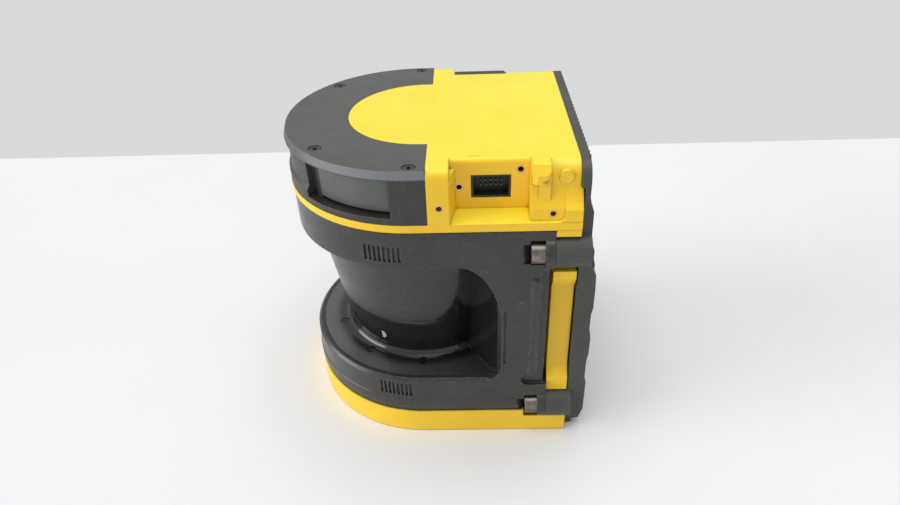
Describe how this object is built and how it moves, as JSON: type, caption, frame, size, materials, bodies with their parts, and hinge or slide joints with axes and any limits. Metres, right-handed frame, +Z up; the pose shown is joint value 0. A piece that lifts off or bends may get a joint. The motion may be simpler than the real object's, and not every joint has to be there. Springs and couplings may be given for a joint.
{
  "type": "safety laser scanner",
  "caption": "Safety laser scanner: yellow cast housing with a horseshoe front, dark hood, funnel-shaped scan window and finned rear casting, with a spinning mirror inside.",
  "frame": {"origin": "where the scan axis meets the plane that the base rests on", "axes": "+Z up along the scan axis, -Y the front, +Y the mounting side, +X the side with the open header port"},
  "size_m": [0.1588, 0.1747, 0.185],
  "materials": {
    "yellow_paint": "smooth semi-gloss enamel",
    "charcoal_plastic": "fine matt texture",
    "charcoal_casting": "matt charcoal powder coat",
    "black_window": "polished infrared-clear black",
    "smoke_window": "satin smoked panel",
    "screw_steel": "turned",
    "black_screw": "blackened steel",
    "rubber_seal": "matt",
    "black_moulding": "moulded",
    "pin_brass": "plated",
    "circuit_board": "solder mask",
    "lens_glass": "polished",
    "machined_aluminium": "turned",
    "winding": "enamelled wire on a steel star",
    "magnet": "bonded magnet",
    "mirror_coat": "front-silvered"
  },
  "bodies": {
    "body": {"housing": "yellow_paint", "top_plate": "charcoal_plastic", "front_hood": "charcoal_plastic", "display_window": "smoke_window", "indicator_window": "smoke_window", "hood_screws": "black_screw", "optics_cover": "charcoal_plastic", "scan_window": "black_window", "window_sensors": "black_moulding", "cover_seal_top": "rubber_seal", "cover_seal_bottom": "rubber_seal", "clamp_screws": "screw_steel", "rear_casting": "charcoal_casting", "rear_gasket": "rubber_seal", "rear_screws": "black_screw", "header_shroud": "black_moulding", "header_pins": "pin_brass", "header_board": "circuit_board", "port_cover": "charcoal_plastic", "port_cover_screws": "black_screw", "main_board": "circuit_board", "board_standoffs": "pin_brass", "board_screws": "screw_steel", "display_board": "circuit_board", "status_leds": "smoke_window", "lens_barrel": "black_moulding", "barrel_screws": "screw_steel", "receiver_lens": "lens_glass", "laser_module": "pin_brass", "receiver_board": "circuit_board", "photodiode": "pin_brass", "motor_bracket": "machined_aluminium", "bracket_screws": "screw_steel", "motor_stator": "winding", "lower_bearing": "screw_steel", "upper_bearing": "screw_steel", "encoder_sensor": "black_moulding"},
    "mirror_unit": {"rotor_shaft": "screw_steel", "rotor_bell": "machined_aluminium", "magnet_ring": "magnet", "encoder_disc": "machined_aluminium", "mirror_holder": "black_moulding", "mirror_plate": "mirror_coat"}
  },
  "joints": [
    {"name": "mirror_spin", "type": "hinge", "parent": "body", "child": "mirror_unit", "pos_m": [0, 0, 0.025], "axis": [0, 0, 1], "continuous": true}
  ]
}
